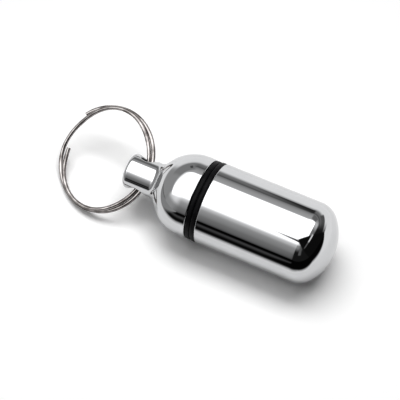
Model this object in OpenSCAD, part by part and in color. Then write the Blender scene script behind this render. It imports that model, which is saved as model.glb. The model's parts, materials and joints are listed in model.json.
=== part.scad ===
// Screw-top pill capsule on a key ring, lying on its side on a table.
// The capsule's axis runs along X, with the key ring towards -X.
// Pieces are drawn upright, with the tube's rim at height 0 and the cap above it, then laid down.

/* [Tube] */
// Outside diameter of the tube and of the cap
capsule_d = 18; // [15:0.5:24]
// Straight length of the tube
tube_straight = 21.9; // [14:0.1:40]
// Depth of the tube's flattened round end
end_depth = 6.4; // [5.9:0.1:6.9]
// Radius where the straight side turns into the round end
end_knuckle_r = 5; // [4:0.1:5.5]
// Wall of the tube and of the cap
shell_wall = 0.8; // [0.5:0.05:1.2]
// Bevel on the rims of the tube and of the cap
rim_bevel = 0.2; // [0.05:0.05:0.3]

/* [Cap] */
// Straight length of the cap, from its rim to the start of the dome
cap_straight = 1.8; // [1:0.1:6]

/* [Seals] */
// Width of each rubber ring along the capsule
seal_w = 1.16; // [0.8:0.02:2]
// Radius on the outer corners of a rubber ring
seal_corner_r = 0.4; // [0.1:0.05:0.4]
// How far the front ring lies below the outside of the capsule
front_seal_drop = 0.12; // [0:0.02:0.3]
// How far the rear ring lies below the outside of the capsule
rear_seal_drop = 0.02; // [0:0.02:0.3]

/* [Screw thread] */
// Rise of the thread in one turn
thread_pitch = 1.25; // [1:0.05:1.6]
// Height of the ridge on neck and sleeve
thread_depth = 0.5; // [0.3:0.05:0.6]
// Width of a ridge at its crest
crest_w = 0.35; // [0.2:0.05:0.4]
// Clearance between a crest and the wall that it faces
thread_play = 0.1; // [0.06:0.02:0.2]
// Wall of the threaded sleeve in the cap
sleeve_wall = 0.98; // [0.8:0.02:1.4]
// Length of the threaded sleeve
sleeve_len = 4; // [3:0.1:4.5]
// Wall of the threaded neck
neck_wall = 0.9; // [0.6:0.05:1.4]
// Length of the neck inside the cap
neck_reach = 4; // [3:0.1:4.5]
// Depth that the neck's collar sits in the tube
collar_depth = 5; // [3:0.1:8]
// Height of the land under the seals above the thread's crest
land_rise = 0.15; // [0.05:0.05:0.4]
// Bevel on the tip of the neck
neck_bevel = 0.4; // [0.1:0.05:0.6]

/* [Ring post] */
// Diameter of the post
post_d = 7.8; // [7:0.1:10]
// Height of the post above the crown of the dome
post_len = 6.6; // [6:0.1:9]
// Radius on the free edge of the post
post_edge_r = 0.9; // [0.2:0.05:1]
// Radius of the hollow fillet at the foot of the post
foot_fillet_r = 0.9; // [0.5:0.05:1.4]
// Diameter of the cross hole
hole_d = 4.2; // [3.8:0.1:4.6]
// Height of the cross hole's centre above the crown
hole_height = 3.3; // [3:0.05:3.6]
// Turn of the cross hole from level, about the capsule's axis
hole_roll = 34; // [15:1:50]
// Diameter of the spigot through the crown
spigot_d = 4; // [3:0.1:5]
// Diameter of the riveted head inside the cap
head_d = 6; // [5.4:0.1:7]
// Thickness of the riveted head at its edge
head_t = 0.6; // [0.4:0.05:1]

/* [Key ring] */
// Outside diameter of the key ring
ring_d = 23.9; // [22:0.1:30]
// Diameter of the wire
wire_d = 0.9; // [0.7:0.05:1.1]
// Gap between the two turns of the wire
turn_gap = 0.04; // [0.02:0.01:0.1]
// Where the inner end of the wire lies, counted from the post
inner_end_turn = 174; // [165:1:185]
// Turn of the wire from one end to the other
winding = 676; // [665:1:690]
// Turn over which the wire passes from the inner to the outer turn
crossing = 72; // [50:1:80]
// How far the inner end is sprung inwards
inner_spring = 0.45; // [0:0.05:0.7]
// How far the outer end is sprung outwards
outer_spring = 0.25; // [0:0.05:0.5]
// Gap between the key ring and the side of the hole that it rests on
ring_rest_gap = 0.12; // [0.08:0.02:0.3]
// Lean of the key ring from the line of the hole
ring_lean = 4; // [0:1:6]
// Height of the key ring's lowest point above the table
table_gap = 0.03; // [0.02:0.01:0.3]

/* [Fits] */
// Clearance round a piece that is fixed in another
seat_gap = 0.02; // [0.01:0.01:0.04]
// Clearance at each face of the front seal
face_gap = 0.02; // [0.01:0.01:0.05]

/* [Hidden] */
$fn = 96;
chrome = [0.82, 0.83, 0.85];
brass = [0.8, 0.66, 0.36];
steel = [0.7, 0.68, 0.66];
black_rubber = [0.07, 0.07, 0.08];

capsule_r = capsule_d / 2;
shell_in_r = capsule_r - shell_wall;
past = 1;

// The round end is a wide crown arc that runs smoothly into the knuckle arc
function crown_r(r, depth, knuckle) = (r * r + depth * depth - 2 * r * knuckle) / (2 * (depth - knuckle));

// Heights along the capsule
front_seal_z = seal_w + face_gap;
cap_rim_z = front_seal_z + seal_w + face_gap;
dome_z = cap_rim_z + cap_straight;
crown_z = dome_z + capsule_r;
post_top_z = crown_z + post_len;
hole_z = crown_z + hole_height;

// Radii of the screw, from the cap's inner wall inwards
insert_r = shell_in_r - seat_gap;
sleeve_root_r = insert_r - sleeve_wall;
sleeve_crest_r = sleeve_root_r - thread_depth;
neck_crest_r = sleeve_root_r - thread_play;
neck_r = neck_crest_r - thread_depth;
neck_bore_r = neck_r - neck_wall;
land_r = neck_crest_r + land_rise;
neck_top_z = cap_rim_z + neck_reach;
sleeve_top_z = cap_rim_z + sleeve_len;

// The flanks leave the same play along the axis as the pitch has to spare
flank_play = 0.08;
root_w = thread_pitch - crest_w - 2 * flank_play;
ridge_sink = 0.15;
ridge_steps = 48;
fade_steps = 5;
thread_edge = 0.35;

// Riveted foot of the post
spigot_r = spigot_d / 2;
head_r = head_d / 2;
post_r = post_d / 2;
fillet_z = dome_z + sqrt(pow(capsule_r + foot_fillet_r, 2) - pow(post_r + foot_fillet_r, 2));
touch_share = capsule_r / (capsule_r + foot_fillet_r);
touch_r = (post_r + foot_fillet_r) * touch_share;
touch_z = dome_z + (fillet_z - dome_z) * touch_share;
foot_edge = 0.25;
head_z = dome_z + sqrt(pow(shell_in_r, 2) - pow(head_r, 2)) - head_t;

// Key ring, drawn flat round its own centre with the post at angle 0
wire_r = wire_d / 2;
ring_r = ring_d / 2;
hole_r = hole_d / 2;
turn_r = ring_r - wire_r;
turn_step = wire_d + turn_gap;
stack_turn = 80;
spring_turn = 40;
wire_steps = 60;
wire_sides = 12;
ring_count = round(winding / 360 * wire_steps);
crossing_start = (winding - crossing) / 2;
centre_to_hole = ring_r - (hole_r - ring_rest_gap);

function ease(x) = let (k = min(1, max(0, x))) k * k * (3 - 2 * k);
function unit(v) = v / norm(v);
function about_x(p, a) = [p[0], p[1] * cos(a) - p[2] * sin(a), p[1] * sin(a) + p[2] * cos(a)];
function about_y(p, a) = [p[0] * cos(a) + p[2] * sin(a), p[1], p[2] * cos(a) - p[0] * sin(a)];

// The turns lie side by side near the post and opposite it, and the inner over the outer in between
function wire_point(s) =
    let (angle = inner_end_turn - s,
         stack = stack_turn * pow(sin(angle), 2),
         lift = ease((s - crossing_start) / crossing),
         inward = inner_spring * (1 - ease(s / spring_turn)),
         outward = outer_spring * (1 - ease((winding - s) / spring_turn)),
         r = turn_r - (1 - lift) * turn_step * cos(stack) - inward + outward)
    [r * cos(angle), r * sin(angle), (lift - 1) * turn_step * sin(stack)];
function wire_heading(s) = unit(wire_point(s + 0.5) - wire_point(s - 0.5));
function wire_ring(s) =
    let (centre = wire_point(s),
         ahead = wire_heading(s),
         side = unit(cross(ahead, [0, 0, 1])),
         up = cross(side, ahead))
    [for (k = [0:wire_sides - 1])
        centre + wire_r * (cos(k * 360 / wire_sides) * side + sin(k * 360 / wire_sides) * up)];

// Faces of a closed tube made of equal rings of points
function tube_faces(rings, sides) = concat(
    [for (i = [0:rings - 2], k = [0:sides - 1]) let (a = i * sides + k, b = i * sides + (k + 1) % sides)
        [a, b, b + sides]],
    [for (i = [0:rings - 2], k = [0:sides - 1]) let (a = i * sides + k, b = i * sides + (k + 1) % sides)
        [a, b + sides, a + sides]],
    [for (k = [1:sides - 2]) [0, k + 1, k]],
    [for (k = [1:sides - 2]) let (last = (rings - 1) * sides) [last, last + k, last + k + 1]]);

// The key ring hangs in the hole and swings down until it rests on the table
function hung(p, swing) =
    about_x(about_y(about_x(p - [centre_to_hole, 0, 0], -ring_lean), swing), 180 + hole_roll);
function lowest(swing) =
    min([for (i = [0:ring_count]) hung(wire_point(i * winding / ring_count), swing)[2]]) - wire_r;
function resting_swing(low, high, steps) =
    let (middle = (low + high) / 2)
    steps == 0 ? middle :
    lowest(middle) > table_gap - capsule_r ? resting_swing(middle, high, steps - 1) :
    resting_swing(low, middle, steps - 1);
ring_swing = resting_swing(-5, 35, 16);
echo(ring_swing = ring_swing);

// Least gap between the two turns of the wire
wire_points = [for (i = [0:ring_count]) wire_point(i * winding / ring_count)];
half_turn = round(wire_steps / 2);
turn_gaps = [for (i = [0:ring_count - half_turn], j = [i + half_turn:ring_count])
    norm(wire_points[i] - wire_points[j]) - wire_d];
echo(least_gap_between_turns = min(turn_gaps));

// The origin lies on the table, under the middle of the whole object
hole_x = -hole_z;
hung_points = [for (p = wire_points) hung(p, ring_swing)];
low_x = min([for (p = hung_points) p[0]]) + hole_x - wire_r;
high_x = tube_straight + end_depth;
low_y = min(-capsule_r, min([for (p = hung_points) p[1]]) - wire_r);
high_y = max(capsule_r, max([for (p = hung_points) p[1]]) + wire_r);
axis_place = [-(low_x + high_x) / 2, -(low_y + high_y) / 2, capsule_r];
echo(axis_place = axis_place);

module laid_down() {
    translate(axis_place) rotate([0, -90, 0]) children();
}

// Half section of the straight side and flattened end of the tube
module tube_section(r, depth, knuckle) {
    crown = crown_r(r, depth, knuckle);
    knuckle_at = [r - knuckle, -tube_straight];
    crown_at = [0, crown - tube_straight - depth];
    way = unit(knuckle_at - crown_at);
    joint = crown_at + way * (crown + past);
    bottom_z = -tube_straight - depth - past;
    translate([0, -tube_straight]) square([r, tube_straight]);
    intersection() {
        translate(crown_at) circle(crown);
        polygon([crown_at, joint, [joint[0], bottom_z], [0, bottom_z]]);
        translate([0, bottom_z]) square([r, depth + past]);
    }
    intersection() {
        translate(knuckle_at) circle(knuckle);
        polygon([knuckle_at, joint, [r + past, joint[1]], [r + past, -tube_straight]]);
    }
}

// Half section of the cap's straight side and dome
module cap_section(r) {
    translate([0, cap_rim_z]) square([r, cap_straight]);
    intersection() {
        translate([0, dome_z]) circle(r);
        translate([0, dome_z]) square([r, r]);
    }
}

// Bevel for the rim of a shell whose end face is at height z, opening up or down
module rim_cut(z, up) {
    polygon([[capsule_r - rim_bevel, z], [capsule_r + past, z + up * past], [capsule_r + past, z - up * rim_bevel],
             [capsule_r, z - up * rim_bevel]]);
}

// One helical ridge, whose ends fade into the wall that it grows from
module thread_ridge(low_z, high_z, wall_r, crest_r) {
    out = sign(crest_r - wall_r);
    start = ceil(low_z / thread_pitch * ridge_steps);
    stop = floor(high_z / thread_pitch * ridge_steps);
    count = stop - start + 1;
    flank = (root_w - crest_w) / 2 / thread_depth;
    base_r = wall_r - out * ridge_sink;
    base_half = root_w / 2 + flank * ridge_sink;
    shift = out > 0 ? 0 : thread_pitch / 2;
    points = [for (i = [0:count - 1])
        let (angle = (start + i) * 360 / ridge_steps,
             z = (start + i) * thread_pitch / ridge_steps + shift,
             share = min(1, min(i, count - 1 - i) / fade_steps),
             tip_r = base_r + out * (ridge_sink / 2 + (abs(crest_r - base_r) - ridge_sink / 2) * share),
             tip_half = base_half - flank * abs(tip_r - base_r),
             inner_r = min(base_r, tip_r),
             inner_half = out > 0 ? base_half : tip_half,
             outer_r = max(base_r, tip_r),
             outer_half = out > 0 ? tip_half : base_half)
        each [for (c = [[inner_r, -inner_half], [outer_r, -outer_half], [outer_r, outer_half],
                        [inner_r, inner_half]])
            [c[0] * cos(angle), c[0] * sin(angle), z + c[1]]]];
    polyhedron(points, tube_faces(count, 4));
}

module body_shell() {
    color(chrome) laid_down() rotate_extrude() difference() {
        tube_section(capsule_r, end_depth, end_knuckle_r);
        tube_section(shell_in_r, end_depth - shell_wall, end_knuckle_r - shell_wall);
        rim_cut(0, 1);
    }
}

module neck_insert() {
    color(brass) laid_down() {
        rotate_extrude() polygon([
            [neck_bore_r, -collar_depth], [insert_r, -collar_depth], [insert_r, 0],
            [land_r, 0], [land_r, cap_rim_z - face_gap], [neck_r, cap_rim_z - face_gap],
            [neck_r, neck_top_z - neck_bevel], [neck_r - neck_bevel, neck_top_z], [neck_bore_r, neck_top_z]]);
        thread_ridge(cap_rim_z + thread_edge, neck_top_z - neck_bevel - root_w / 2, neck_r, neck_crest_r);
    }
}

// Rubber ring with rounded outer corners, its lower face at height z
module seal_ring(z, outer_r) {
    color(black_rubber) laid_down() rotate_extrude() {
        translate([land_r + seat_gap, z]) square([outer_r - seal_corner_r - land_r - seat_gap, seal_w]);
        translate([outer_r - seal_corner_r, z + seal_corner_r])
            square([seal_corner_r, seal_w - 2 * seal_corner_r]);
        for (up = [0, 1]) translate([outer_r - seal_corner_r, z + (up ? seal_w - seal_corner_r : seal_corner_r)])
            intersection() {
                circle(seal_corner_r);
                translate([0, up ? 0 : -seal_corner_r]) square(seal_corner_r);
            }
    }
}

module rear_seal_ring() {
    seal_ring(0, capsule_r - rear_seal_drop);
}

module front_seal_ring() {
    seal_ring(front_seal_z, capsule_r - front_seal_drop);
}

module cap_shell() {
    color(chrome) laid_down() rotate_extrude() difference() {
        cap_section(capsule_r);
        cap_section(shell_in_r);
        translate([0, dome_z]) square([spigot_r + seat_gap, capsule_r]);
        rim_cut(cap_rim_z, -1);
    }
}

module cap_insert() {
    color(brass) laid_down() {
        rotate_extrude() intersection() {
            cap_section(insert_r);
            translate([sleeve_root_r, cap_rim_z]) square([capsule_r, sleeve_len]);
        }
        thread_ridge(cap_rim_z + thread_edge, sleeve_top_z - thread_edge - root_w / 2 - thread_pitch / 2,
                     sleeve_root_r, sleeve_crest_r);
    }
}

// Half section of the post, with its foot on the dome
module post_section() {
    translate([0, dome_z]) square([post_r, post_top_z - post_edge_r - dome_z]);
    translate([0, dome_z]) square([post_r - post_edge_r, post_top_z - dome_z]);
    translate([post_r - post_edge_r, post_top_z - post_edge_r]) intersection() {
        circle(post_edge_r);
        square(post_edge_r);
    }
    difference() {
        polygon([[0, fillet_z], [post_r + foot_fillet_r, fillet_z], [touch_r, touch_z], [0, dome_z]]);
        translate([post_r + foot_fillet_r, fillet_z]) circle(foot_fillet_r);
        translate([touch_r - foot_edge, dome_z]) square([post_r, post_top_z]);
    }
}

module ring_post() {
    color(chrome) laid_down() {
        difference() {
            rotate_extrude() difference() {
                post_section();
                translate([0, dome_z]) circle(capsule_r + seat_gap);
            }
            translate([0, 0, hole_z]) rotate([90, 0, -hole_roll]) cylinder(r = hole_r, h = 2 * post_d, center = true);
        }
        translate([0, 0, head_z]) cylinder(r = spigot_r, h = crown_z + hole_height - hole_r - head_z - foot_edge);
        rotate_extrude() intersection() {
            translate([0, dome_z]) circle(shell_in_r - seat_gap);
            translate([0, head_z]) square([head_r, capsule_r]);
        }
    }
}

module split_ring() {
    color(steel) translate(axis_place + [hole_x, 0, 0]) polyhedron(
        [for (i = [0:ring_count]) each [for (p = wire_ring(i * winding / ring_count)) hung(p, ring_swing)]],
        tube_faces(ring_count + 1, wire_sides));
}

body_shell();
neck_insert();
rear_seal_ring();
front_seal_ring();
cap_shell();
cap_insert();
ring_post();
split_ring();
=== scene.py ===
import json
import math

import bpy
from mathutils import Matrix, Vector


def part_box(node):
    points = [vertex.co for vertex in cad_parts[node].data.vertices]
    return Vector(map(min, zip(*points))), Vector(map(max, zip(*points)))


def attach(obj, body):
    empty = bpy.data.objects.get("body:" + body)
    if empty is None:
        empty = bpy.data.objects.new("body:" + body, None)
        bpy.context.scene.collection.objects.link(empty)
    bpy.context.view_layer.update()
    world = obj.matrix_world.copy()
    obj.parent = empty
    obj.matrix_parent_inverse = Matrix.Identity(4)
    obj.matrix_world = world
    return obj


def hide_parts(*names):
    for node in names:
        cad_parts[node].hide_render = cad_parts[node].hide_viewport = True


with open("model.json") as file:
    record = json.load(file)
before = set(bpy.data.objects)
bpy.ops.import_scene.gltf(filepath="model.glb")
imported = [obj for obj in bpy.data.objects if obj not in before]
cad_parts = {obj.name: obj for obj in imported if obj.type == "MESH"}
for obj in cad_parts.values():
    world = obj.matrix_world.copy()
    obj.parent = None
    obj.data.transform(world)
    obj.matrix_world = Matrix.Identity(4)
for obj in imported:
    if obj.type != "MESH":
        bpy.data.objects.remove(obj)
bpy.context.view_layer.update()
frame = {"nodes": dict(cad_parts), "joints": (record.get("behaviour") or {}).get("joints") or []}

mm = 0.001
mergeDistance = 1e-7

# Where the capsule lies: its axis runs along X, and places on it are counted from the tube's rim
tubeLow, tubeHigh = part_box("body_shell")
axisPlace = Vector((tubeLow.x, (tubeLow.y + tubeHigh.y) / 2, (tubeLow.z + tubeHigh.z) / 2))
capsuleRadius = (tubeHigh.z - tubeLow.z) / 2 / mm
joints = {joint["name"]: joint for joint in frame["joints"]}
holePlace = Vector(joints["ring_swing"]["pos_m"])
holeLine = Vector(joints["ring_swing"]["axis"])


def onAxis(x):
    return axisPlace + Vector((x * mm, 0, 0))


def deselect():
    if bpy.context.object and bpy.context.object.mode != "OBJECT":
        bpy.ops.object.mode_set(mode="OBJECT")
    bpy.ops.object.select_all(action="DESELECT")


def arcPoints(centre, radius, startAngle, endAngle, steps):
    turn = endAngle - startAngle
    angles = [math.radians(startAngle + turn * k / steps) for k in range(steps + 1)]
    return [(centre[0] + radius * math.cos(a), centre[1] + radius * math.sin(a)) for a in angles]


# One ring of a turned piece: the last ring is extruded to its place and resized to its radius
def extrudeRing(x, radius, lastX, lastRadius):
    bpy.ops.mesh.extrude_region_move(TRANSFORM_OT_translate={"value": ((x - lastX) * mm, 0, 0)})
    size = radius / lastRadius
    bpy.ops.transform.resize(value=(1, size, size), center_override=onAxis(x))


# A turned piece from its profile of (place, radius), capped at both ends or closed on itself
def turnedPiece(name, profile, around=224, closed=False):
    deselect()
    startX, startRadius = profile[0]
    bpy.ops.mesh.primitive_circle_add(vertices=around, radius=startRadius * mm,
                                      location=onAxis(startX), rotation=(0, math.pi / 2, 0))
    piece = bpy.context.object
    piece.name = piece.data.name = name
    bpy.ops.object.transform_apply(location=True, rotation=True, scale=True)
    bpy.ops.object.mode_set(mode="EDIT")
    bpy.ops.mesh.select_all(action="SELECT")
    if not closed:
        bpy.ops.mesh.extrude_region_move()
        bpy.ops.mesh.merge(type="CENTER")
        bpy.ops.mesh.select_all(action="SELECT")
        bpy.ops.mesh.region_to_loop()
    lastX, lastRadius = startX, startRadius
    for x, radius in profile[1:]:
        extrudeRing(x, radius, lastX, lastRadius)
        lastX, lastRadius = x, radius
    if closed:
        extrudeRing(startX, startRadius, lastX, lastRadius)
    else:
        bpy.ops.mesh.extrude_region_move()
        bpy.ops.mesh.merge(type="CENTER")
    bpy.ops.mesh.select_all(action="SELECT")
    bpy.ops.mesh.remove_doubles(threshold=mergeDistance)
    bpy.ops.mesh.normals_make_consistent(inside=False)
    bpy.ops.object.mode_set(mode="OBJECT")
    bpy.ops.object.shade_smooth()
    return piece


# Node trees

class Shader:
    def __init__(self, tree):
        self.tree = tree
        tree.nodes.clear()

    def add(self, kind, inputs=None, **settings):
        node = self.tree.nodes.new(kind)
        for name, value in settings.items():
            setattr(node, name, value)
        for name, value in (inputs or {}).items():
            self.put(node.inputs[name], value)
        return node

    def put(self, socket, value):  # a link from a socket, or a plain value
        if isinstance(value, bpy.types.NodeSocket):
            self.tree.links.new(value, socket)
        else:
            socket.default_value = value

    def calc(self, operation, first, second=0.0, third=0.0):
        node = self.add("ShaderNodeMath", operation=operation)
        for socket, value in zip(node.inputs, (first, second, third)):
            self.put(socket, value)
        return node.outputs[0]

    def step(self, value, outside, inside):  # soft edge: 0 outside, 1 inside, whichever is higher
        node = self.add("ShaderNodeMapRange", {"Value": value}, interpolation_type="SMOOTHSTEP")
        node.inputs["From Min"].default_value = min(outside, inside)
        node.inputs["From Max"].default_value = max(outside, inside)
        if outside > inside:
            node.inputs["To Min"].default_value = 1.0
            node.inputs["To Max"].default_value = 0.0
        return node.outputs["Result"]

    def ramp(self, value, stops):
        node = self.add("ShaderNodeValToRGB", {"Fac": value})
        elements = node.color_ramp.elements
        while len(elements) < len(stops):
            elements.new(0.5)
        for element, (place, color) in zip(elements, stops):
            element.position = place
            element.color = (*color, 1)
        return node.outputs["Color"]

    def greyRamp(self, value, stops):
        return self.ramp(value, [(place, (tone, tone, tone)) for place, tone in stops])

    def noise(self, vector, scale, detail=3.0, roughness=0.5):
        node = self.add("ShaderNodeTexNoise", {"Vector": vector, "Scale": scale, "Detail": detail,
                                               "Roughness": roughness})
        return node.outputs["Fac"]

    def mix(self, fac, first, second):  # two colors
        node = self.add("ShaderNodeMix", data_type="RGBA")
        for socket, value in zip((node.inputs[0], node.inputs[6], node.inputs[7]),
                                 (fac, first, second)):
            self.put(socket, value)
        return node.outputs[2]

    def blend(self, fac, first, second):  # two numbers
        node = self.add("ShaderNodeMix", data_type="FLOAT")
        for socket, value in zip((node.inputs[0], node.inputs[2], node.inputs[3]),
                                 (fac, first, second)):
            self.put(socket, value)
        return node.outputs[0]

    def place(self, output="Object"):
        return self.add("ShaderNodeTexCoord").outputs[output]

    def split(self, vector):
        return self.add("ShaderNodeSeparateXYZ", {"Vector": vector}).outputs


class Finish(Shader):
    def __init__(self, name):
        self.material = bpy.data.materials.new(name)
        self.material.use_nodes = True
        super().__init__(self.material.node_tree)
        self.surface = self.add("ShaderNodeBsdfPrincipled")
        self.add("ShaderNodeOutputMaterial", {"Surface": self.surface.outputs[0]})

    def set(self, name, value):  # a number or color that is the same all over
        self.surface.inputs[name].default_value = value

    def vary(self, pattern, stops, colors, roughness):  # from the pattern's low places to its high
        self.put(self.surface.inputs["Base Color"], self.ramp(pattern, list(zip(stops, colors))))
        self.put(self.surface.inputs["Roughness"], self.blend(pattern, *roughness))

    def raiseBy(self, pattern, strength, depth):
        bump = self.add("ShaderNodeBump", {"Height": pattern, "Strength": strength,
                                           "Distance": depth})
        self.put(self.surface.inputs["Normal"], bump.outputs[0])


def finish(piece, material, body, slot, *nodes):
    piece.data.materials.clear()
    piece.data.materials.append(material)
    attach(piece, body)
    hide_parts(*nodes)


chromeFinish = {
    "color": (0.6, 0.605, 0.615),
    "cloudColor": (0.575, 0.58, 0.59),
    "roughness": 0.014,
    "cloudRoughness": 0.032,
    "cloudScale": 140,
    "cloudDetail": 4,
    "cloudStops": (0.35, 0.6),
    "polishScale": 2600,
    "polishDetail": 2,
    "polishStrength": 0.12,
    "polishDepth": 0.0000012,
}


def chromeMaterial():
    v = chromeFinish
    chrome = Finish("polishedChrome")
    place = chrome.place()
    chrome.set("Metallic", 1.0)
    chrome.vary(chrome.noise(place, v["cloudScale"], v["cloudDetail"]), v["cloudStops"],
                (v["cloudColor"], v["color"]), (v["roughness"], v["cloudRoughness"]))
    chrome.raiseBy(chrome.noise(place, v["polishScale"], v["polishDetail"]),
                   v["polishStrength"], v["polishDepth"])
    return chrome.material


rubberFinish = {
    "color": (0.003, 0.003, 0.0035),
    "dustColor": (0.008, 0.008, 0.0085),
    "roughness": 0.36,
    "dustRoughness": 0.51,
    "specular": 0.055,
    "dustScale": 700,
    "dustDetail": 5,
    "dustGrit": 0.6,
    "dustStops": (0.45, 0.75),
    "grainScale": 9000,
    "grainDetail": 2,
    "grainStrength": 0.3,
    "grainDepth": 0.000006,
}


def rubberMaterial():
    v = rubberFinish
    rubber = Finish("blackRubber")
    place = rubber.place()
    rubber.set("Specular IOR Level", v["specular"])
    rubber.vary(rubber.noise(place, v["dustScale"], v["dustDetail"], v["dustGrit"]),
                v["dustStops"], (v["color"], v["dustColor"]),
                (v["roughness"], v["dustRoughness"]))
    rubber.raiseBy(rubber.noise(place, v["grainScale"], v["grainDetail"]),
                   v["grainStrength"], v["grainDepth"])
    return rubber.material


wireFinish = {
    "color": (0.43, 0.407, 0.399),
    "darkColor": (0.13, 0.117, 0.113),
    "edgeColor": (0.4, 0.377, 0.369),
    "roughness": 0.02,
    "wornRoughness": 0.06,
    "patchScale": 420,
    "patchDetail": 4,
    "patchStops": (0.34, 0.6),
    "lineStretch": (6.0, 60.0, 1.0),
    "lineScale": 4.0,
    "lineDetail": 2,
    "lineStrength": 0.15,
    "lineDepth": 0.0000012,
}


def wireMaterial():
    v = wireFinish
    wire = Finish("nickelledWire")
    wire.set("Metallic", 1.0)
    wire.set("Specular Tint", (*v["edgeColor"], 1))
    wire.vary(wire.noise(wire.place(), v["patchScale"], v["patchDetail"]), v["patchStops"],
              (v["darkColor"], v["color"]), (v["wornRoughness"], v["roughness"]))
    along = wire.add("ShaderNodeUVMap", uv_map="UVMap").outputs[0]
    lines = wire.add("ShaderNodeMapping", {"Vector": along, "Scale": v["lineStretch"]}).outputs[0]
    wire.raiseBy(wire.noise(lines, v["lineScale"], v["lineDetail"]),
                 v["lineStrength"], v["lineDepth"])
    return wire.material


turnedFinish = {
    "color": (0.62, 0.61, 0.6),
    "grooveColor": (0.5, 0.49, 0.485),
    "roughness": 0.24,
    "grooveRoughness": 0.36,
    "grooveStretch": (1.0, 0.02, 0.02),
    "grooveScale": 5200,
    "grooveDetail": 3,
    "grooveStops": (0.35, 0.6),
    "grooveStrength": 0.4,
    "grooveDepth": 0.000006,
}


def turnedMaterial():
    v = turnedFinish
    turned = Finish("turnedSteel")
    turned.set("Metallic", 1.0)
    lengthwise = turned.add("ShaderNodeMapping", {"Vector": turned.place(),
                                                  "Scale": v["grooveStretch"]}).outputs[0]
    grooves = turned.noise(lengthwise, v["grooveScale"], v["grooveDetail"])
    turned.vary(grooves, v["grooveStops"], (v["grooveColor"], v["color"]),
                (v["grooveRoughness"], v["roughness"]))
    turned.raiseBy(grooves, v["grooveStrength"], v["grooveDepth"])
    return turned.material


chrome = chromeMaterial()
rubber = rubberMaterial()
wireSteel = wireMaterial()
turnedSteel = turnedMaterial()
print("materials made")

# Tube

tubeSizes = {
    "straight": 21.9,
    "endDepth": 6.4,
    "knuckle": 5.0,
    "wall": 0.8,
    "rimRadius": 0.22,
    "innerRimRadius": 0.12,
}

# Rings of faces on tube and cap: steps of each arc, and extra rings that keep the shading clean
shellRings = {
    "poleAngle": 0.4,
    "endSteps": 40,
    "rimSteps": 8,
    "innerRimSteps": 5,
    "besideEnd": 0.4,
    "offRim": 0.3,
    "besideRim": 0.03,
    "besideInnerRim": 0.1,
}


# Crown arc and knuckle arc of a flattened round end, from the pole outwards
def endProfile(radius, depth, knuckle, start, inwards=False):
    steps = shellRings["endSteps"]
    crown = (radius ** 2 + depth ** 2 - 2 * radius * knuckle) / (2 * (depth - knuckle))
    crownCentre = start + depth - crown
    meet = math.degrees(math.atan2(radius - knuckle, start - crownCentre))
    points = arcPoints((crownCentre, 0), crown, shellRings["poleAngle"], meet, steps)
    points += arcPoints((start, radius - knuckle), knuckle, meet, 90, steps)[1:]
    return points[::-1] if inwards else points


def makeTube():
    v, rings = tubeSizes, shellRings
    outer = capsuleRadius
    inner = outer - v["wall"]
    rim, innerRim = v["rimRadius"], v["innerRimRadius"]
    endX = v["straight"] - rings["besideEnd"]
    profile = endProfile(outer, v["endDepth"], v["knuckle"], v["straight"])
    profile += [(endX, outer), (v["straight"] / 2, outer),
                (rim + rings["offRim"], outer), (rim + rings["besideRim"], outer)]
    profile += arcPoints((rim, outer - rim), rim, 90, 180, rings["rimSteps"])
    profile += arcPoints((innerRim, inner + innerRim), innerRim, 180, 270, rings["innerRimSteps"])
    profile += [(innerRim + rings["besideInnerRim"], inner), (endX, inner)]
    profile += endProfile(inner, v["endDepth"] - v["wall"], v["knuckle"] - v["wall"],
                          v["straight"], True)
    return turnedPiece("tubeShell", profile)


finish(makeTube(), chrome, "tube", "capsule_chrome", "body_shell")
print("tube made")

# Cap

capSizes = {
    "rim": -2.36,
    "straight": 1.8,
    "wall": 0.8,
    "rimRadius": 0.22,
    "innerRimRadius": 0.12,
    "spigotHole": 2.02,
    "domeSteps": 90,
    "innerDomeSteps": 80,
}

domeX = capSizes["rim"] - capSizes["straight"]  # centre of the cap's dome


def makeCap():
    v, rings = capSizes, shellRings
    outer = capsuleRadius
    inner = outer - v["wall"]
    rimX, rim, innerRim = v["rim"], v["rimRadius"], v["innerRimRadius"]
    endX = domeX + rings["besideEnd"]
    outerStart = math.degrees(math.asin(v["spigotHole"] / outer))
    innerStart = math.degrees(math.asin(v["spigotHole"] / inner))
    profile = arcPoints((domeX, 0), outer, 180 - outerStart, 90, v["domeSteps"])
    profile += [(endX, outer), (rimX - rim - rings["offRim"], outer),
                (rimX - rim - rings["besideRim"], outer)]
    profile += arcPoints((rimX - rim, outer - rim), rim, 90, 0, rings["rimSteps"])
    profile += arcPoints((rimX - innerRim, inner + innerRim), innerRim, 0, -90,
                         rings["innerRimSteps"])
    profile += [(rimX - innerRim - rings["besideInnerRim"], inner), (endX, inner)]
    profile += arcPoints((domeX, 0), inner, 90, 180 - innerStart, v["innerDomeSteps"])
    return turnedPiece("capShell", profile, closed=True)


finish(makeCap(), chrome, "cap", "capsule_chrome", "cap_shell")
print("cap made")

# Seals

sealSizes = {
    "width": 1.16,
    "bore": 7.27,
    "corner": 0.42,
    "cornerSteps": 8,
    "innerCorner": 0.15,
    "innerSteps": 4,
    "around": 160,
    "rearDrop": 0.02,
    "frontDrop": 0.12,
    "rearStart": 0.0,
    "frontStart": -1.18,
}


def makeSeal(name, right, outer):
    v = sealSizes
    left = right - v["width"]
    corner, inside = v["corner"], v["innerCorner"]
    steps, innerSteps = v["cornerSteps"], v["innerSteps"]
    bore = v["bore"] + inside
    profile = arcPoints((left + corner, outer - corner), corner, 180, 90, steps)
    profile += arcPoints((right - corner, outer - corner), corner, 90, 0, steps)
    profile += arcPoints((right - inside, bore), inside, 0, -90, innerSteps)
    profile += arcPoints((left + inside, bore), inside, -90, -180, innerSteps)
    return turnedPiece(name, profile, around=v["around"], closed=True)


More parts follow.
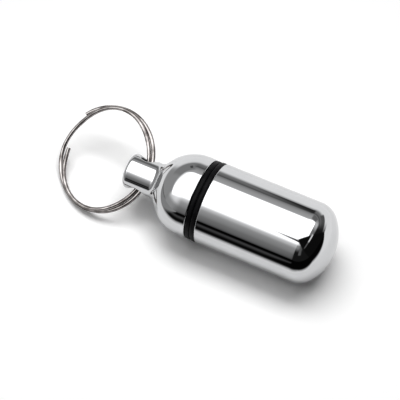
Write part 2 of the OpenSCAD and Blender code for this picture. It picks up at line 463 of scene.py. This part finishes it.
rearSeal = makeSeal("rearSeal", sealSizes["rearStart"], capsuleRadius - sealSizes["rearDrop"])
finish(rearSeal, rubber, "tube", "seal_rubber", "rear_seal_ring")
frontSeal = makeSeal("frontSeal", sealSizes["frontStart"], capsuleRadius - sealSizes["frontDrop"])
finish(frontSeal, rubber, "turning_seal", "seal_rubber", "front_seal_ring")
print("seals made")

# Ring post

postSizes = {
    "radius": 3.9,
    "length": 6.6,
    "edge": 0.9,
    "fillet": 0.95,
    "sunk": 0.004,
    "rooted": 0.5,
    "skirt": 0.12,
    "holeRadius": 2.1,
    "mouthRadius": 0.3,
    "poleRadius": 0.6,
    "backAngle": 176,
    "around": 128,
    "arcSteps": 10,
    "skirtSteps": 2,
    "backSteps": 12,
    "drillFaces": 96,
    "voxel": 0.085,
}

# How the post's points slide onto its rounded surface after the remesh
postSlide = {
    "turns": 4,
    "probe": 0.004,
    "longest": 0.15,
    "flattest": 0.3,
}


def roundUnion(first, second, radius):
    near = math.hypot(max(radius - first, 0), max(radius - second, 0))
    return max(radius, min(first, second)) - near


def roundCut(first, second, radius):
    near = math.hypot(max(radius + first, 0), max(radius + second, 0))
    return min(-radius, max(first, second)) + near


# How far a point lies outside the post's finished surface, in mm from the dome's centre
def postDistance(p):
    v = postSizes
    out = -p.x
    r = math.hypot(p.y, p.z)
    fromCentre = p.length
    top = capsuleRadius + v["length"] - v["edge"]
    side = v["radius"] - v["edge"]
    column = math.hypot(max(r - side, 0), max(out - top, 0)) + min(max(r - side, out - top), 0)
    column -= v["edge"]
    dome = capsuleRadius - v["sunk"]
    foot = roundUnion(column, fromCentre - dome, v["fillet"])
    touch = (v["radius"] + v["fillet"]) * dome / (dome + v["fillet"])
    foot = max(foot, r - touch - v["skirt"], dome - v["rooted"] - fromCentre)
    fromLine = p - (holePlace - onAxis(domeX)) / mm
    fromHole = v["holeRadius"] - (fromLine - holeLine * fromLine.dot(holeLine)).length
    return roundCut(foot, fromHole, v["mouthRadius"])


def postSlope(p, d):
    probe = postSlide["probe"]
    shifts = [Vector([probe if k == axis else 0 for k in range(3)]) for axis in range(3)]
    return Vector([postDistance(p + shift) - d for shift in shifts]) / probe


def slideOnto(p):
    v = postSlide
    for turn in range(v["turns"]):
        d = postDistance(p)
        slope = postSlope(p, d)
        if slope.length < v["flattest"]:
            break
        p -= slope * (max(-v["longest"], min(v["longest"], d)) / slope.length_squared)
    return p


def makePost():
    v = postSizes
    dome = capsuleRadius - v["sunk"]
    top = domeX - capsuleRadius - v["length"]
    edge, fillet, steps = v["edge"], v["fillet"], v["arcSteps"]
    spread = v["radius"] + fillet
    filletX = domeX - math.sqrt((dome + fillet) ** 2 - spread ** 2)
    touchAngle = math.degrees(math.asin(spread / (dome + fillet)))
    skirtAngle = touchAngle + math.degrees(v["skirt"] / dome)
    profile = [(top, v["poleRadius"])]
    profile += arcPoints((top + edge, v["radius"] - edge), edge, 180, 90, steps)
    profile += arcPoints((filletX, spread), fillet, -90, -touchAngle, steps)
    profile += arcPoints((domeX, 0), dome, 180 - touchAngle, 180 - skirtAngle,
                         v["skirtSteps"])[1:]
    profile += arcPoints((domeX, 0), dome - v["rooted"], 180 - skirtAngle, v["backAngle"],
                         v["backSteps"])
    post = turnedPiece("ringPost", profile, around=v["around"])
    deselect()
    drillTurn = holeLine.to_track_quat("Z", "Y").to_euler()
    bpy.ops.mesh.primitive_cylinder_add(vertices=v["drillFaces"], radius=v["holeRadius"] * mm,
                                        depth=3 * v["radius"] * mm, location=holePlace,
                                        rotation=drillTurn)
    drill = bpy.context.object
    cut = post.modifiers.new("crossHole", "BOOLEAN")
    cut.object = drill
    cut.solver = "EXACT"
    remesh = post.modifiers.new("evenFaces", "REMESH")
    remesh.mode = "VOXEL"
    remesh.voxel_size = v["voxel"] * mm
    bpy.context.view_layer.objects.active = post
    bpy.ops.object.modifier_apply(modifier=cut.name)
    bpy.ops.object.modifier_apply(modifier=remesh.name)
    bpy.data.objects.remove(drill)
    centre = onAxis(domeX)
    for vertex in post.data.vertices:
        vertex.co = centre + slideOnto((vertex.co - centre) / mm) * mm
    deselect()
    post.select_set(True)
    bpy.context.view_layer.objects.active = post
    bpy.ops.object.shade_smooth()
    return post


finish(makePost(), chrome, "cap", "capsule_chrome", "ring_post")

# The post's stem goes through the cap's wall and is riveted over inside

rivetSizes = {
    "stem": 2.0,
    "stemStart": -12.8,
    "head": 3.0,
    "thickness": 0.6,
    "edge": 0.15,
    "edgeSteps": 4,
    "poleRadius": 0.5,
    "around": 96,
}


def makeRivet():
    v = rivetSizes
    face = (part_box("ring_post")[1].x - axisPlace.x) / mm
    back = face - v["thickness"]
    edge, steps, pole = v["edge"], v["edgeSteps"], v["poleRadius"]
    profile = [(v["stemStart"], pole), (v["stemStart"], v["stem"]), (back, v["stem"])]
    profile += arcPoints((back + edge, v["head"] - edge), edge, 180, 90, steps)
    profile += arcPoints((face - edge, v["head"] - edge), edge, 90, 0, steps)
    profile += [(face, pole)]
    return turnedPiece("rivetHead", profile, around=v["around"])


finish(makeRivet(), chrome, "cap", "capsule_chrome", "ring_post")
print("post and rivet made")

# Key ring

ringSizes = {
    "diameter": 23.9,
    "wire": 0.9,
    "turnGap": 0.04,
    "innerEnd": 174,
    "winding": 676,
    "crossing": 72,
    "innerSpring": 0.45,
    "outerSpring": 0.25,
    "springTurn": 40,
    "stackTurn": 80,
    "restGap": 0.12,
    "swing": 15.51,
    "lean": 4,
    "steps": 480,
    "wireDetail": 6,
    "smoothAngle": 50,
}


def ease(x):
    k = min(1, max(0, x))
    return k * k * (3 - 2 * k)


def turnX(p, degrees):
    c, s = math.cos(math.radians(degrees)), math.sin(math.radians(degrees))
    return Vector((p.x, p.y * c - p.z * s, p.y * s + p.z * c))


def turnY(p, degrees):
    c, s = math.cos(math.radians(degrees)), math.sin(math.radians(degrees))
    return Vector((p.x * c + p.z * s, p.y, p.z * c - p.x * s))


# A point on the wire's middle line, s degrees along it, with the ring hanging in the post's hole
def wirePoint(s):
    v = ringSizes
    angle = math.radians(v["innerEnd"] - s)
    stack = math.radians(v["stackTurn"]) * math.sin(angle) ** 2
    lift = ease((s - (v["winding"] - v["crossing"]) / 2) / v["crossing"])
    inward = v["innerSpring"] * (1 - ease(s / v["springTurn"]))
    outward = v["outerSpring"] * (1 - ease((v["winding"] - s) / v["springTurn"]))
    step = v["wire"] + v["turnGap"]
    r = (v["diameter"] - v["wire"]) / 2 - (1 - lift) * step * math.cos(stack) - inward + outward
    p = Vector((r * math.cos(angle), r * math.sin(angle), (lift - 1) * step * math.sin(stack)))
    toHole = v["diameter"] / 2 - (postSizes["holeRadius"] - v["restGap"])
    roll = math.degrees(math.atan2(-holeLine.z, -holeLine.y))
    p = turnX(turnY(turnX(p - Vector((toHole, 0, 0)), -v["lean"]), v["swing"]), 180 + roll)
    return holePlace + p * mm


def makeRing():
    v = ringSizes
    path = [wirePoint(v["winding"] * k / v["steps"]) for k in range(v["steps"] + 1)]
    deselect()
    bpy.ops.mesh.primitive_plane_add(size=mm, location=path[0])
    bpy.ops.object.transform_apply(location=True, rotation=True, scale=True)
    ring = bpy.context.object
    ring.name = "splitRing"
    bpy.ops.object.mode_set(mode="EDIT")
    bpy.ops.mesh.select_all(action="SELECT")
    bpy.ops.mesh.merge(type="CENTER")
    for last, place in zip(path, path[1:]):
        bpy.ops.mesh.extrude_region_move(TRANSFORM_OT_translate={"value": place - last})
    bpy.ops.object.mode_set(mode="OBJECT")
    bpy.ops.object.convert(target="CURVE")
    ring.data.bevel_depth = v["wire"] / 2 * mm
    ring.data.bevel_resolution = v["wireDetail"]
    ring.data.use_fill_caps = True
    bpy.ops.object.convert(target="MESH")
    bpy.ops.object.mode_set(mode="EDIT")
    bpy.ops.mesh.select_all(action="SELECT")
    bpy.ops.mesh.remove_doubles(threshold=mergeDistance)
    bpy.ops.mesh.normals_make_consistent(inside=False)
    bpy.ops.object.mode_set(mode="OBJECT")
    bpy.ops.object.shade_smooth_by_angle(angle=math.radians(v["smoothAngle"]))
    ring.data.name = "splitRing"
    return ring


finish(makeRing(), wireSteel, "key_ring", "ring_steel", "split_ring")
print("key ring made")

# Screw pieces keep their exact threads

for name in ("neck_insert", "cap_insert"):
    threaded = frame["nodes"][name]
    threaded.data.materials.clear()
    threaded.data.materials.append(turnedSteel)
print("threads finished")

# Table: for mirror rays only, the floor glows with a painted reflection of the paper's near and
# right edges and the room past them

table = {
    "size": 4,
    "color": (0.94, 0.94, 0.94),
    "seenColor": (1.06, 1.06, 1.06),
    "whiteFrom": 0.036,
    "whiteTo": 0.075,
    "farTone": 1.08,
    "paperEdge": -0.026,
    "edgeBlur": 0.003,
    "rightCorner": 0.035,
    "rightSlope": -0.53,
    "roomScale": 5.0,
    # Painted reflection: tones of the dark room past the paper's edge, seen only by mirror rays
    "room": ((0.15, 0.0), (0.47, 0.012), (0.6, 0.07), (0.69, 0.06), (0.765, 0.011), (0.8, 0.002),
             (0.828, 0.004), (0.845, 0.1), (0.862, 0.58), (0.878, 0.85)),
    "leftSlant": -0.3,
    "leftSide": (-0.009, -0.029),
    "leftNear": (-0.028, -0.034),
    "leftTone": 0.32,
    "rightSide": (0.012, 0.018),
    "rightNear": (0.84, 0.8),
    "rightTone": 0.002,
}


def makeTable():
    v = table
    deselect()
    bpy.ops.mesh.primitive_plane_add(size=v["size"])
    floor = bpy.context.object
    floor.name = "floor"
    material = bpy.data.materials.new("whiteTable")
    material.use_nodes = True
    shader = Shader(material.node_tree)
    calc, step = shader.calc, shader.step
    x, y, z = shader.split(shader.place())
    ray = shader.add("ShaderNodeLightPath").outputs
    away = calc("SQRT", calc("ADD", calc("MULTIPLY", x, x), calc("MULTIPLY", y, y)))
    far = step(away, v["whiteFrom"], v["whiteTo"])
    color = shader.mix(ray["Is Camera Ray"], (*v["color"], 1), (*v["seenColor"], 1))
    paper = shader.add("ShaderNodeBsdfDiffuse", {"Color": color}).outputs[0]
    fromCorner = calc("SUBTRACT", x, v["rightCorner"])
    toEdge = calc("MINIMUM", y, calc("MULTIPLY_ADD", fromCorner, v["rightSlope"], y))
    band = calc("MULTIPLY_ADD", toEdge, v["roomScale"], 1.0)
    pastEdge = shader.greyRamp(band, v["room"])
    left = calc("MULTIPLY", step(calc("MULTIPLY_ADD", y, v["leftSlant"], x), *v["leftSide"]),
                step(y, *v["leftNear"]))
    pastEdge = shader.blend(left, pastEdge, v["leftTone"])
    right = calc("MULTIPLY", step(x, *v["rightSide"]), step(band, *v["rightNear"]))
    pastEdge = shader.blend(right, pastEdge, v["rightTone"])
    # Painted reflection: past the paper's edges and far out, the floor emits these tones for
    # mirror rays only
    offPaper = step(toEdge, v["paperEdge"] + v["edgeBlur"], v["paperEdge"])
    tone = shader.blend(offPaper, v["farTone"], pastEdge)
    mirrored = shader.add("ShaderNodeEmission", {"Strength": tone}).outputs[0]
    gloss = calc("MULTIPLY", ray["Is Glossy Ray"], calc("MAXIMUM", far, offPaper))
    surface = shader.add("ShaderNodeMixShader", {0: gloss, 1: paper, 2: mirrored}).outputs[0]
    white = shader.add("ShaderNodeEmission").outputs[0]
    seen = calc("MULTIPLY", ray["Is Camera Ray"], far)
    surface = shader.add("ShaderNodeMixShader", {0: seen, 1: surface, 2: white}).outputs[0]
    shader.add("ShaderNodeOutputMaterial", {"Surface": surface})
    floor.data.materials.append(material)


# Room that the chrome mirrors: a pale wall low down behind, a dark band over it, and spill from
# the softbox in front. Tones go by level, which is 0 at the horizon and 1 overhead.
room = {
    "behind": ((0.14, 0.36), (0.168, 0.31), (0.21, 0.19), (0.25, 0.09), (0.34, 0.06),
               (0.378, 0.033), (0.42, 0.1), (0.49, 0.15), (0.57, 0.17), (0.66, 0.2)),
    "front": ((0.0, 0.015), (0.045, 0.052), (0.1, 0.066), (0.17, 0.077), (0.24, 0.105),
              (0.33, 0.127), (0.36, 0.143), (0.39, 0.187), (0.42, 0.24), (0.47, 0.255),
              (0.54, 0.32)),
    "frontToBehind": (-0.05, 0.25),
    "slant": -0.7,
    "screenNear": -0.6,
    "screenLength": 1.6,
    "tiny": 0.001,
    "mirrorGain": 3.0,
    "light": 0.04,
}

# Patches over it, in order. Each edge is soft, from outside to inside, along level, east, north,
# slant (north less some east) or, for a pair of numbers, that direction on the ceiling.
roomPatches = {
    "leftWall": {
        "edges": (("east", -0.76, -0.92), ("level", -0.02, 0.05)),
        "tone": 0.125},
    "frontGlow": {
        "edges": (("east", -0.2, -0.62), ("north", -0.44, -0.6)),
        "along": "level",
        "tones": ((0.08, 0.13), (0.15, 0.138), (0.2, 0.2), (0.26, 0.32), (0.32, 0.37),
                  (0.43, 0.42))},
    "plainWall": {
        "edges": (("east", -0.3, -0.48), ("level", 0.2, 0.25), ("level", 0.53, 0.48),
                  ("north", 0.2, 0.4)),
        "tone": 0.095},
    "spot": {
        "edges": (("east", -0.46, -0.5), ("east", -0.6, -0.56), ("level", 0.32, 0.35),
                  ("level", 0.45, 0.42), ("north", 0.2, 0.4)),
        "tone": 0.03},
    "doorway": {
        "edges": (("east", -0.245, -0.205), ("east", 0.02, -0.12), ("level", 0.225, 0.25),
                  ("level", 0.4, 0.36), ("north", 0.3, 0.5)),
        "tone": 0.01},
    "corner": {
        "edges": (("east", -0.1, 0.08), ("level", 0.4, 0.44), ("level", 0.62, 0.56),
                  ("north", 0.3, 0.5)),
        "tone": 0.06},
    "wallEnd": {
        "edges": (("east", 0.3, 0.42), ("level", 0.1, 0.15), ("level", 0.34, 0.27),
                  ("north", 0.0, 0.2)),
        "tone": 0.04},
    "darkSide": {
        "edges": (("east", -0.2, -0.13), ("slant", 0.32, -0.28)),
        "haze": (("level", 0.27, 0.4), ("east", 0.6, -0.1)),
        "hazeStrength": 0.5,
        "tone": 0.004},
    "shelf": {
        "edges": (("east", 0.15, 0.24), ("east", 0.45, 0.33), ("level", 0.17, 0.23),
                  ("level", 0.44, 0.38), ("north", -0.6, -0.8)),
        "tone": 0.045},
    "screen": {
        "edges": (((1, 0), 0.48, 0.56), ((1, 0), 1.05, 0.8), ((0, 1), -0.6, -0.4),
                  ((0, 1), 1.1, 0.9)),
        "along": "screen",
        "tones": ((0.0, 0.02), (0.1, 0.05), (0.19, 0.11), (0.3, 0.13), (0.37, 0.08), (0.5, 0.08),
                  (0.6, 0.16), (0.72, 0.235), (0.82, 0.24), (0.94, 0.13))},
    "softbox": {
        "edges": (((1, 0), 0.53, 0.43), ((1, -0.5), -1.28, -0.96), ((-0.1, 1), 0.71, 0.57),
                  ((-0.2, 1), -1.12, -0.62), ((1.2, -1), -1.68, -0.86)),
        "tone": 0.9},
    "cameraStand": {
        "edges": (((-0.54, 1), -0.39, -0.49), ((1, 0), -0.24, -0.18), ((0.6, 1), -0.95, -0.78)),
        "tone": 0.002},
    "pole": {
        "edges": (((1, 0), 0.72, 0.79), ((1, 0), 0.96, 0.89), ((0, 1), -1.3, -0.95),
                  ((0, 1), 0.08, -0.04)),
        "tone": 0.045,
        "litFrom": ((0, 1), -0.58, -0.42),
        "litTone": 0.33},
    "cable": {
        "edges": (((1, 0), -0.248, -0.226), ((1, 0), -0.1, -0.16), ((0, 1), -0.8, -0.75),
                  ((0, 1), -0.61, -0.66)),
        "tone": 0.008},
}


def makeRoom():
    v = room
    world = bpy.data.worlds.new("studio")
    world.use_nodes = True
    bpy.context.scene.world = world
    shader = Shader(world.node_tree)
    calc = shader.calc
    ray = shader.add("ShaderNodeLightPath").outputs
    x, y, z = shader.split(shader.place("Generated"))
    high = calc("MAXIMUM", z, v["tiny"])
    ceilingX, ceilingY = calc("DIVIDE", x, high), calc("DIVIDE", y, high)
    flat = calc("MAXIMUM", calc("SQRT", calc("SUBTRACT", 1.0, calc("MULTIPLY", z, z))), v["tiny"])
    east, north = calc("DIVIDE", x, flat), calc("DIVIDE", y, flat)
    level = calc("MULTIPLY", calc("ARCSINE", z), 1 / (math.pi / 2))
    ways = {
        "level": level,
        "east": east,
        "north": north,
        "slant": calc("MULTIPLY_ADD", east, v["slant"], north),
        "screen": calc("MULTIPLY_ADD", ceilingY, 1 / v["screenLength"],
                       -v["screenNear"] / v["screenLength"]),
    }

    def softEdge(way, outside, inside):
        if way in ways:
            return shader.step(ways[way], outside, inside)
        alongCeiling = calc("MULTIPLY_ADD", ceilingX, way[0], calc("MULTIPLY", ceilingY, way[1]))
        return shader.step(alongCeiling, outside, inside)

    def maskOf(edges):
        mask = softEdge(*edges[0])
        for edge in edges[1:]:
            mask = calc("MULTIPLY", mask, softEdge(*edge))
        return mask

    tone = shader.blend(shader.step(north, *v["frontToBehind"]),
                        shader.greyRamp(level, v["front"]), shader.greyRamp(level, v["behind"]))
    for patch in roomPatches.values():
        mask = maskOf(patch["edges"])
        if "haze" in patch:
            clear = calc("MULTIPLY_ADD", maskOf(patch["haze"]), -patch["hazeStrength"], 1.0)
            mask = calc("MULTIPLY", mask, clear)
        if "tones" in patch:
            patchTone = shader.greyRamp(ways[patch["along"]], patch["tones"])
        elif "litTone" in patch:
            patchTone = shader.blend(softEdge(*patch["litFrom"]), patch["tone"], patch["litTone"])
        else:
            patchTone = patch["tone"]
        tone = shader.blend(mask, tone, patchTone)
    mirrored = calc("MULTIPLY", tone, v["mirrorGain"])
    strength = shader.blend(ray["Is Glossy Ray"], v["light"], mirrored)
    strength = shader.blend(ray["Is Camera Ray"], strength, 1.0)
    light = shader.add("ShaderNodeBackground", {"Color": (1, 1, 1, 1), "Strength": strength})
    shader.add("ShaderNodeOutputWorld", {"Surface": light.outputs[0]})


# Lamps light the object and its shadow, and the chrome doesn't show them

lamps = {
    "keyPanel": {"power": 2.45, "size": (0.5, 0.24), "place": (-0.05, 0.135, 0.5)},
    "fillPanel": {"power": 1.1, "size": (0.8, 0.375), "place": (-0.15, -0.14, 0.5)},
}


def makeLamp(name):
    v = lamps[name]
    lamp = bpy.data.lights.new(name, "AREA")
    lamp.shape = "RECTANGLE"
    lamp.size, lamp.size_y = v["size"]
    lamp.energy = v["power"]
    panel = bpy.data.objects.new(name, lamp)
    bpy.context.scene.collection.objects.link(panel)
    panel.location = v["place"]
    panel.visible_glossy = False
    panel.visible_camera = False


cameraView = {
    "aim": (-0.585, 3.451, 0.0),
    "height": 57.588,
    "turn": 25.983,
    "distance": 422.76,
    "lens": 174.68,
    "sensor": 36,
    "nearest": 0.01,
}


def makeCamera():
    v = cameraView
    height, turn = math.radians(v["height"]), math.radians(v["turn"])
    away = Vector((math.cos(height) * math.sin(turn), -math.cos(height) * math.cos(turn),
                   math.sin(height)))
    camera = bpy.data.objects.new("camera", bpy.data.cameras.new("camera"))
    bpy.context.scene.collection.objects.link(camera)
    camera.location = (Vector(v["aim"]) + away * v["distance"]) * mm
    camera.rotation_euler = away.to_track_quat("Z", "Y").to_euler()
    camera.data.lens = v["lens"]
    camera.data.sensor_width = v["sensor"]
    camera.data.clip_start = v["nearest"]
    bpy.context.scene.camera = camera


makeTable()
makeRoom()
for lampName in lamps:
    makeLamp(lampName)
makeCamera()
bpy.context.scene.view_settings.view_transform = "Standard"
print("stage set")
